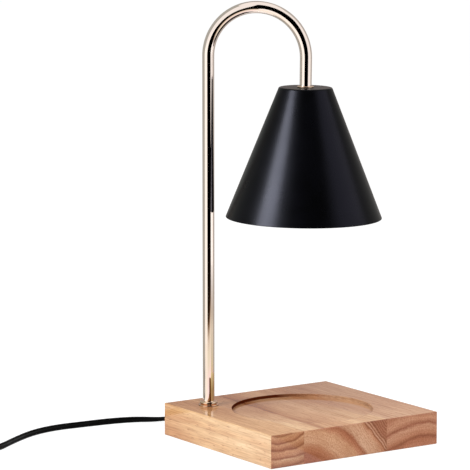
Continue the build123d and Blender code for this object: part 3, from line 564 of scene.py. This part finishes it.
def flat_cord(name, route, roll_stations):
    """Two cores side by side, swept along the route and rolled about it.

    roll_stations gives (millimetres along, degrees of roll): at 0 the cord lies flat, at 90 it stands on its
    edge. A cord that lies flat rests lower than one on edge, so its line drops by half the difference."""
    line = smooth_route(route, name + "_line") / MM
    steps = np.linalg.norm(np.diff(line, axis=0), axis=1)
    along = np.concatenate([[0], np.cumsum(steps)])
    stations = np.array(roll_stations, float)
    stations[:, 0] = np.where(stations[:, 0] < 0, along[-1] + stations[:, 0], stations[:, 0])
    share = np.interp(along, stations[:, 0], stations[:, 1])
    kernel = np.hanning(ROLL_EASE)
    padded = np.pad(share, ROLL_EASE // 2, mode="edge")
    roll = np.radians(np.convolve(padded, kernel / kernel.sum(), mode="valid"))
    on_table = np.clip((CORD_CLEARS_Z - line[:, 2]) / (CORD_CLEARS_Z - CORD_LIES_Z), 0, 1)
    line[:, 2] -= (CORD_WIDTH - CORD_THICK) / 2 * (1 - np.abs(np.sin(roll))) * on_table
    ahead = np.gradient(line, axis=0)
    ahead /= np.linalg.norm(ahead, axis=1)[:, None]
    side = np.cross(ahead, UP)
    side /= np.linalg.norm(side, axis=1)[:, None]
    over = np.cross(side, ahead)
    wide = np.cos(roll)[:, None] * side + np.sin(roll)[:, None] * over
    thick = np.cross(wide, ahead)
    core_r = CORD_THICK / 2
    apart = CORD_WIDTH / 2 - core_r
    a = np.radians(np.linspace(-CORE_ARC, CORE_ARC, CORE_POINTS))
    across_w = np.concatenate([apart + core_r * np.cos(a), -apart - core_r * np.cos(a)])
    across_t = np.concatenate([core_r * np.sin(a), -core_r * np.sin(a)])
    rings = line[:, None] + across_w[:, None] * wide[:, None] + across_t[:, None] * thick[:, None]
    piece = skin(name, rings, pvc, crease=60.0)
    return piece, line * MM, along[-1] * MM


def coil_points():
    """The coil's points, clockwise: half the turns spiral inwards on the table, the cord climbs on the
    inside, and the other half spiral outwards on top. It stands on edge, as a flat cord coils."""
    turned_by = 360.0 * COIL_TURNS + COIL_FIRST - COIL_LAST
    swept = np.arange(0, turned_by + 1, COIL_STEP)
    inward = 1 - np.abs(2 * swept / turned_by - 1)
    layers = COIL_PITCH * COIL_TURNS / 2
    radius = COIL_R + layers * (0.5 - inward)
    climb = np.clip((swept - turned_by / 2) / 90.0 + 0.5, 0, 1)
    climb = climb * climb * (3 - 2 * climb)
    a = np.radians(COIL_FIRST - swept)
    height = COIL_LOW + (COIL_HIGH - COIL_LOW) * climb
    return np.stack([COIL_X + radius * np.cos(a), COIL_Y + radius * np.sin(a), height], -1)


cord_near, near_path, near_length = flat_cord("cord_to_dimmer", NEAR_ROUTE, NEAR_ROLL)
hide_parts("power_cord_near")
far_route = [*FAR_ROUTE[:-1], *coil_points().tolist(), *TAIL_ROUTE[1:]]
cord_far, far_path, far_length = flat_cord("cord_to_plug", far_route, FAR_ROLL)
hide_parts("power_cord_far", "cord_coil", "power_cord_tail")


def coil_tie():
    """A flat strap wrapped once round the coil's bundle: a rounded box across it, with x and z as the sign of
    cos and sin times their size to the power of TIE_SQUARENESS, given a width along the coil and a wall."""
    high, low = COIL_HIGH + CORD_WIDTH / 2, COIL_LOW - CORD_WIDTH / 2
    half_w = COIL_PITCH * (COIL_TURNS / 2 + 1) / 2 + 0.5
    half_h, middle = (high - low) / 2, (high + low) / 2
    a = np.linspace(0, 2 * pi, 64, endpoint=False)
    spot = np.stack([np.cos(a), np.sin(a)], -1)
    edge = np.sign(spot) * np.abs(spot) ** TIE_SQUARENESS
    out = np.array([cos(radians(TIE_AT)), sin(radians(TIE_AT)), 0])
    along = np.cross(UP, out)
    centre = np.array([COIL_X, COIL_Y, 0]) + out * COIL_R + UP * middle
    rings = []
    for width, wall in ((-0.5, 0.0), (-0.5, 1.0), (0.5, 1.0), (0.5, 0.0)):
        grown = edge * [half_w + wall * TIE_THICK, half_h + wall * TIE_THICK * 0.7]
        rings.append(centre + grown[:, :1] * out + grown[:, 1:] * UP + along * width * TIE_WIDTH)
    piece = skin("coil_tie", rings, cloth, hollow=True, crease=50.0)
    return piece


tie = coil_tie()
print("cord lengths", round(near_length, 4), round(far_length, 4))


# ---- the board
def board():
    """The staves as one closed skin of rings round the recess's axis. Each ring is a circle, or the board's
    or the pocket's rounded outline met by rays from that axis: the ray's length is found by halving."""
    axis = np.array([0.0, RECESS_Y])
    corner = np.arctan2([BOARD_Y / 2 - RECESS_Y, -BOARD_Y / 2 - RECESS_Y], [BOARD_X / 2] * 2)
    corners = np.concatenate([corner, np.sign(corner) * pi - corner])
    close = corners[:, None] + np.radians(CORNER_RAYS)
    angles = np.concatenate([np.linspace(-pi, pi, BOARD_RAYS, endpoint=False), close.ravel()])
    angles = np.sort(angles % (2 * pi))
    rays = np.stack([np.cos(angles), np.sin(angles)], -1)

    def outline(half_x, half_y, corner_r):
        """How far each ray runs to a rectangle with rounded corners."""
        short, long = np.zeros(len(rays)), np.full(len(rays), FARTHEST_RAY)
        for _ in range(HALVINGS):
            middle = (short + long) / 2
            beyond = np.abs(axis + middle[:, None] * rays) - [half_x - corner_r, half_y - corner_r]
            outside = np.linalg.norm(np.maximum(beyond, 0), axis=1) + np.minimum(beyond.max(1), 0) > corner_r
            short, long = np.where(outside, short, middle), np.where(outside, middle, long)
        return short

    def ring(reach, z):
        """One ring: a radius or the rays' reaches, at a height."""
        reach = np.broadcast_to(reach, len(rays))
        return np.concatenate([axis + reach[:, None] * rays, np.full((len(rays), 1), float(z))], 1)

    def edge(inset, z):
        """The board's outline, drawn in by an inset."""
        return ring(outline(BOARD_X / 2 - inset, BOARD_Y / 2 - inset, max(BOARD_EASE - inset, 0.05)), z)

    floor = BOARD_TOP - RECESS_DEPTH
    well = eased([
        (0.0, floor, 0), (RECESS_R - 1.6, floor, 0), (RECESS_R, floor, RECESS_FILLET),
        (RECESS_R, BOARD_TOP, RECESS_EASE), (RECESS_R + 1.2, BOARD_TOP, 0), (RECESS_R + 1.6, BOARD_TOP, 0),
    ])
    rings = [ring(r, z) for r, z in well]
    rings += [edge(1.4, BOARD_TOP), edge(1.0, BOARD_TOP)]
    quarter = np.radians(np.linspace(0, 90, 5))
    rings += [edge(BOARD_EASE * (1 - sin(q)), BOARD_TOP - BOARD_EASE * (1 - cos(q))) for q in quarter]
    rings += [edge(0, BOARD_TOP - 1.0), edge(0, BOARD_LOW + 1.0)]
    rings += [edge(BOARD_EASE * (1 - cos(q)), BOARD_LOW + BOARD_EASE * (1 - sin(q))) for q in quarter]
    rings += [edge(1.0, BOARD_LOW)]
    pocket = outline(POCKET_X / 2, POCKET_Y / 2, POCKET_CORNER_R)
    rings += [ring(pocket, BOARD_LOW), ring(pocket, POCKET_Z), ring(0.0, POCKET_Z)]
    piece = skin("board", rings, ash)
    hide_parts("base_block")
    return piece


# ---- the plated parts
def bent_tube():
    """Circles carried up the straight stem, round the arch and down the leg, square to the centreline."""
    straight = np.linspace(TUBE_END_Z, SPRING_Z, STEM_RINGS)[:, None] * UP + stem_foot
    bend = np.linspace(0, 180 + LEAN, ARCH_RINGS)[1:]
    down = shade_top - shade_up * TUBE_BELOW_SHADE_TOP - arch_end
    leg = arch_end + np.linspace(0, 1, LEG_RINGS)[1:, None] * down
    line = np.concatenate([straight, arch_points(bend), leg])
    turns = np.radians(np.concatenate([np.zeros(len(straight)), bend, np.full(len(leg), bend[-1])]))
    ahead = np.sin(turns)[:, None] * arm + np.cos(turns)[:, None] * UP
    over = np.cross(across, ahead)
    a = np.linspace(0, 2 * pi, TUBE_POINTS, endpoint=False)
    circle = np.cos(a)[None, :, None] * across + np.sin(a)[None, :, None] * over[:, None]
    piece = skin("bent_tube", line[:, None] + TUBE_R * circle, plate)
    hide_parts("stem_tube")
    return piece


def beaded_collar():
    """The collar at the foot: a flat lip on the board, then a bead, r(a) = BEAD_MIDDLE + BEAD_R * cos(a) and
    h(a) = BEAD_H + BEAD_R * sin(a), that closes on the tube."""
    a = np.radians(np.linspace(BEAD_FIRST, BEAD_LAST, 14))
    bead = np.stack([BEAD_MIDDLE + BEAD_R * np.cos(a), BEAD_H + BEAD_R * np.sin(a)], -1)
    lip = eased([
        (TUBE_R - INTO_TUBE, 0.0, 0), (LIP_R, 0.0, 0.3), (LIP_R, LIP_H, 0.5), (LIP_R - 1.2, LIP_H + 0.12, 0),
    ])
    outline = np.concatenate([lip, bead, [(TUBE_R - INTO_TUBE, BEAD_H + BEAD_R)]])
    piece = skin("foot_bead", turned(outline, stem_foot + UP * BOARD_TOP), rose, hollow=True)
    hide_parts("foot_collar")
    return piece


def cap_disc():
    """The small disc on the shade: a rounded lip with a shallow dome up to the tube."""
    outline = eased([
        (TUBE_R - INTO_TUBE, 0.05, 0), (CAP_R - 0.35, 0.05, 0.1), (CAP_R, 0.45, 0.3),
        (CAP_R - 0.2, CAP_H - 0.25, 0.35), (TUBE_R + 0.5, CAP_H, 0.3), (TUBE_R - INTO_TUBE, CAP_H, 0),
    ])
    piece = skin("cap_disc", turned(outline, shade_top, shade_up), rose, hollow=True)
    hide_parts("shade_cap")
    return piece


def spun_cone():
    """The shade: one wall spun to a cone, with a rounded shoulder and a softened rim."""
    slope = (SHADE_RIM_R - SHADE_TOP_R) / SHADE_H
    wall = SHADE_WALL * sqrt(1 + slope * slope)
    hole = TUBE_R + 0.1
    outline = eased([
        (hole, 0.0, 0), (SHADE_TOP_R - 4, 0, 0), (SHADE_TOP_R, 0.0, 1.6), (SHADE_RIM_R, -SHADE_H, 0.4),
        (SHADE_RIM_R - wall, -SHADE_H, 0.4), (SHADE_TOP_R + slope * SHADE_WALL - wall, -SHADE_WALL, 0.8),
        (hole, -SHADE_WALL, 0),
    ], steps=CONE_STEPS)
    piece = skin("spun_cone", turned(outline, shade_top, shade_up, CONE_POINTS), powder, hollow=True)
    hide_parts("shade")
    return piece


# ---- the lamp
def lamp_front():
    """The pressed front glass: a disc whose inner face carries rings of lenslets,
    depth(r, a) = LENSLET_DEPTH * |cos(pi r / LENSLET_RING)| * |cos(LENSLET_SPOKES a)|, fading at the rim."""
    # the glass is 1.4 mm thick or more, and the lenslets fade out before the rim and at the middle
    radii = np.linspace(0, BULB_R - 1.3, 40)
    a = np.linspace(0, 2 * pi, 192, endpoint=False)
    r, angle = np.meshgrid(radii, a, indexing="ij")
    fade = np.clip((BULB_R - 2.2 - r) / 1.5, 0, 1) * np.clip(r / 3.0, 0, 1)
    depth = LENSLET_DEPTH * fade * np.abs(np.cos(pi * r / LENSLET_RING) * np.cos(LENSLET_SPOKES * angle))
    top = BULB_RIM + 2.0 + depth
    base = np.full_like(r, BULB_RIM + 0.6)
    side, front = square_to(shade_up)
    both_r = np.concatenate([r, r[::-1]])
    both_a = np.concatenate([angle, angle[::-1]])
    height = np.concatenate([top, base[::-1]])
    rings = (shade_top + (both_r * np.cos(both_a))[..., None] * side
             + (both_r * np.sin(both_a))[..., None] * front + height[..., None] * shade_up)
    piece = skin("lamp_front", rings, glass, body="bulb", crease=60.0)
    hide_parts("bulb_lens")
    return piece


board()
bent_tube()
beaded_collar()
cap_disc()
cone = spun_cone()
lamp_front()

# ---- light, floor and the cards that the plated parts mirror
KEY_PLACE, KEY_SIZE, KEY_POWER = (-0.966, 0.092, 0.67), (0.4, 0.5), 8.4
SHEEN_PLACE, SHEEN_SIZE, SHEEN_POWER = (-0.94, 0.09, 0.655), (0.48, 0.56), 29.0
SIDE_PLACE, SIDE_SIZE, SIDE_POWER = (0.78, -0.42, 0.7), (1.6, 0.7), 5.4
FILL_PLACE, FILL_SIZE, FILL_POWER = (-0.5, -1.9, 0.75), (1.4, 0.9), 14.6
TOP_PLACE, TOP_SIZE, TOP_POWER = (0.7, -0.9, 1.5), (1.0, 1.0), 14.0
COOL_WHITE, PALE_VIOLET = linear("#f6fdff")[:3], linear("#efe6ff")[:3]
ROOM_LIGHT, PAPER_GLOW = 0.55, 0.86
CARD_STEPS = 24
ON_FLOOR = 0.0003  # a card that lies on the floor is this far above it


def aimed(name, place, at, sizes, **settings):
    """A rectangular softbox at a place, pointed at another."""
    light = bpy.data.objects.new(name, bpy.data.lights.new(name, "AREA"))
    light.data.shape, light.data.size, light.data.size_y = "RECTANGLE", *sizes
    for key, value in settings.items():
        setattr(light.data, key, value)
    light.location = place
    light.rotation_mode = "QUATERNION"
    light.rotation_quaternion = (Vector(at) - Vector(place)).to_track_quat("-Z", "Y")
    bpy.context.scene.collection.objects.link(light)
    return light


# the sheen softbox, just in front of the key, and the dim one at the right light the shade alone
key = aimed("key_softbox", KEY_PLACE, (0, 0, 0.16), KEY_SIZE, energy=KEY_POWER, color=COOL_WHITE)
sheen = aimed("sheen_softbox", SHEEN_PLACE, (0, 0, 0.16), SHEEN_SIZE, energy=SHEEN_POWER)
side_sheen = aimed("side_sheen", SIDE_PLACE, (0, 0, 0.23), SIDE_SIZE, energy=SIDE_POWER, color=PALE_VIOLET)
only_shade = bpy.data.collections.new("sheen_receivers")
only_shade.objects.link(cone)
for light in (sheen, side_sheen):
    light.light_linking.receiver_collection = only_shade
fill = aimed("front_fill", FILL_PLACE, (0, 0, 0.12), FILL_SIZE, energy=FILL_POWER)
top = aimed("top_softbox", TOP_PLACE, (0, 0, 0.02), TOP_SIZE, energy=TOP_POWER)
for light in (key, fill, top):
    light.visible_glossy = False

def shown(tree):
    """1 for a ray from the camera, a mirror or clear glass, and 0 for one that gathers light."""
    paths = add(tree, "ShaderNodeLightPath").node.outputs
    rays = {0: paths["Is Camera Ray"], 1: paths["Is Glossy Ray"]}
    seen = add(tree, "ShaderNodeMath", rays, operation="MAXIMUM")
    return add(tree, "ShaderNodeMath", {0: seen, 1: paths["Is Transmission Ray"]}, operation="MAXIMUM")


world = bpy.data.worlds.new("room")
world.use_nodes = True
bpy.context.scene.world = world
sky = world.node_tree
level = add(sky, "ShaderNodeMix", {0: shown(sky), 2: ROOM_LIGHT, 3: 1.0})
sky.links.new(level, sky.nodes["Background"].inputs["Strength"])
sky.nodes["Background"].inputs["Color"].default_value = (1, 1, 1, 1)


def stage_piece(name, corners, faces, material):
    """A sheet, in metres, that stands in the room and isn't part of the lamp."""
    mesh = bpy.data.meshes.new(name)
    mesh.from_pydata(corners, [], faces)
    mesh.materials.append(material)
    piece = bpy.data.objects.new(name, mesh)
    bpy.context.scene.collection.objects.link(piece)
    return piece


def white_paper():
    """The floor: white to the camera, to metal and to glass, less the lamp's soft shadow, and plain paper to
    the rays that gather light."""
    made = bpy.data.materials.new("white_paper")
    made.use_nodes = True
    tree = made.node_tree
    paper = tree.nodes["Principled BSDF"]
    paper.inputs["Base Color"].default_value = linear("#e8e8e8")
    paper.inputs["Roughness"].default_value = 1.0
    paper.inputs["Specular IOR Level"].default_value = 0.0
    shadowed = add(tree, "ShaderNodeBsdfDiffuse", {"Color": linear("#8f8f8f")})
    glow = add(tree, "ShaderNodeEmission", {"Color": (1, 1, 1, 1), "Strength": PAPER_GLOW})
    white = add(tree, "ShaderNodeAddShader", {0: shadowed, 1: glow})
    mixed = add(tree, "ShaderNodeMixShader", {0: shown(tree), 1: paper.outputs["BSDF"], 2: white})
    tree.links.new(mixed, tree.nodes["Material Output"].inputs["Surface"])
    return made


def lit_card():
    """Card lit with the colour that each of its points carries, on the side that faces the stem or the sky,
    and clear on the other."""
    made = bpy.data.materials.new("lit_card")
    made.use_nodes = True
    tree = made.node_tree
    lit = add(tree, "ShaderNodeAttribute", attribute_name="lit").node.outputs["Color"]
    lit = add(tree, "ShaderNodeEmission", {"Color": lit, "Strength": 1.0})
    inner = add(tree, "ShaderNodeNewGeometry").node.outputs["Backfacing"]
    clear = add(tree, "ShaderNodeBsdfTransparent")
    lit = add(tree, "ShaderNodeMixShader", {0: inner, 1: clear, 2: lit})
    tree.links.new(lit, tree.nodes["Material Output"].inputs["Surface"])
    return made


def card(name, first_turn, last_turn, profile, fade=1.0, flat=False):
    """A card that only mirrors show: a profile of (distance, height, level, tint), in metres, carried round
    the stem from one turn to another. Turns are degrees from the camera's side, and grow to the right. Its
    light fades evenly to the given share of itself. A flat card squares up to the camera: its distances grow
    by one over the turn's cosine."""
    away, high, levels, tints = zip(*profile)
    turns = np.radians(np.linspace(first_turn, last_turn, CARD_STEPS))
    headings = turns + np.arctan2(view_back[1], view_back[0])
    out = np.stack([np.cos(headings), np.sin(headings), np.zeros(CARD_STEPS)], -1)
    if flat:
        out /= np.cos(turns)[:, None]
    corners = stem_foot * MM + np.array(away)[:, None, None] * out + np.array(high)[:, None, None] * UP
    i, j = np.meshgrid(np.arange(len(profile) - 1), np.arange(CARD_STEPS - 1), indexing="ij")
    first = i * CARD_STEPS + j
    faces = np.stack([first, first + 1, first + CARD_STEPS + 1, first + CARD_STEPS], -1).reshape(-1, 4)
    piece = stage_piece(name, corners.reshape(-1, 3).tolist(), faces.tolist(), card_light)
    lit = np.array([linear(tint) for tint in tints]) * np.array(levels)[:, None]
    lit = lit[:, None] * np.linspace(1, fade, CARD_STEPS)[None, :, None]
    attribute = piece.data.attributes.new("lit", "FLOAT_COLOR", "POINT")
    attribute.data.foreach_set("color", lit.ravel())
    for ray in ("camera", "diffuse", "transmission", "volume_scatter", "shadow"):
        setattr(piece, "visible_" + ray, False)


card_light = lit_card()
# as the mirrors see it, the floor is painted rosy close to the lamp, cream further out, and falling into the
# dark of the room
FRONT = [
    (0.12, ON_FLOOR, 1.09, "#ffeded"), (0.20, ON_FLOOR, 1.09, "#ffeded"), (0.258, ON_FLOOR, 1.06, "#ffede8"),
    (0.312, ON_FLOOR, 0.93, "#fff9e5"), (0.37, ON_FLOOR, 0.90, "#fff8e3"), (0.40, ON_FLOOR, 0.87, "#fff2e2"),
    (0.43, ON_FLOOR, 0.79, "#fff1e0"), (0.457, ON_FLOOR, 0.58, "#ffedd5"), (0.49, ON_FLOOR, 0.352, "#ffddbc"),
    (0.517, ON_FLOOR, 0.136, "#ffc38d"), (0.55, ON_FLOOR, 0.03, "#ffc792"), (0.62, ON_FLOOR, 0.02, "#ffc792"),
    (0.64, 0.01, 0.01, "#ffd9b0"), (0.64, 0.06, 0.0, "#ffffff"), (0.64, 1.10, 0.0, "#ffffff"),
]
RIGHT = [
    (0.12, ON_FLOOR, 0.74, "#fff0c5"), (0.285, ON_FLOOR, 0.74, "#fff0c5"), (0.37, ON_FLOOR, 0.73, "#fff5dc"),
    (0.49, ON_FLOOR, 0.78, "#fff6e5"), (0.583, ON_FLOOR, 0.60, "#fff3e4"), (0.656, ON_FLOOR, 0.67, "#fff8f2"),
    (0.70, 0.011, 0.79, "#ffffff"), (0.70, 0.023, 0.98, "#ffffff"), (0.70, 0.03, 1.0, "#ffffff"),
]
# the left card humps over the dimmer, so that the tube shows white there
LEFT = [
    (0.12, ON_FLOOR, 1.08, "#fffaf0"), (0.16, 0.022, 1.08, "#fffaf0"), (0.30, 0.022, 1.1, "#fffaf0"),
    (0.34, ON_FLOOR, 1.12, "#fffbf4"), (0.70, ON_FLOOR, 1.22, "#fffdfa"), (0.72, 0.33, 1.22, "#fffdfa"),
]
BACK_LEFT = [
    (0.16, ON_FLOOR, 0.46, "#fafdf6"), (0.70, ON_FLOOR, 0.46, "#fafdf6"), (0.70, 1.56, 0.46, "#fafdf6"),
]
BACK_RIGHT = [
    (0.16, ON_FLOOR, 0.46, "#fffaf4"), (0.70, ON_FLOOR, 0.46, "#fffaf4"), (0.70, 1.56, 0.55, "#fdfffe"),
]
# the lacquer on the board's top mirrors the low part of this one
BACK = [
    (0.16, ON_FLOOR, 0.6, "#fffaf4"), (0.66, ON_FLOOR, 0.6, "#fffaf4"), (0.66, 0.01, 0.66, "#f8dfd9"),
    (0.66, 0.30, 0.66, "#f8dfd9"), (0.66, 0.50, 0.6, "#fffaf4"), (0.66, 1.50, 0.6, "#fffaf4"),
]
# painted reflections and shade: sheets laid just over the board, seen only in mirrors, paint what the plated
# stem
# and collar show of it: deep brown low across the grain in front, a dark ring round the collar, and warmer
# wood to the right
ON_BOARD = (BOARD_TOP + 0.2) * MM
PAINTED_BOARD_FRONT_REFLECTION = [
    (0.022, ON_BOARD, 0.06, "#ff6a00"), (0.05, ON_BOARD, 0.1, "#ff9030"), (0.121, ON_BOARD, 0.16, "#ffb060"),
]
# painted shade round the collar, as the collar mirrors it
PAINTED_COLLAR_SHADE = [(0.0082, ON_BOARD, 0.05, "#ff6a00"), (0.022, ON_BOARD, 0.08, "#ff8a30")]
# painted reflection of the wood to the right of the stem
PAINTED_BOARD_RIGHT_REFLECTION = [
    (0.022, ON_BOARD, 0.5, "#ffcb90"), (0.07, ON_BOARD, 0.48, "#ffdb9a"), (0.14, ON_BOARD, 0.85, "#ffecb4"),
]
stage_piece("floor", [(-6, -6, 0), (6, -6, 0), (6, 6, 0), (-6, 6, 0)], [(0, 1, 2, 3)], white_paper())
card("front_card", -20.5, 46.0, FRONT, flat=True)
card("right_card", 46.0, 98.0, RIGHT)
card("left_card", -71.0, -20.5, LEFT)
card("back_left_card", -170.0, -71.0, BACK_LEFT)
card("back_card", 155.0, 190.0, BACK, fade=0.55)
card("back_right_card", 98.0, 155.0, BACK_RIGHT)
# the painted shade and painted reflections laid on the board
card("painted_collar_shade_left", -180.0, -62.0, PAINTED_COLLAR_SHADE)
card("painted_collar_shade_right", -22.0, 180.0, PAINTED_COLLAR_SHADE)
card("painted_board_front_reflection", 12.0, 44.0, PAINTED_BOARD_FRONT_REFLECTION)
card("painted_board_right_reflection", 44.0, 110.0, PAINTED_BOARD_RIGHT_REFLECTION, fade=0.6)

view = bpy.context.scene.view_settings
view.view_transform = "Standard"
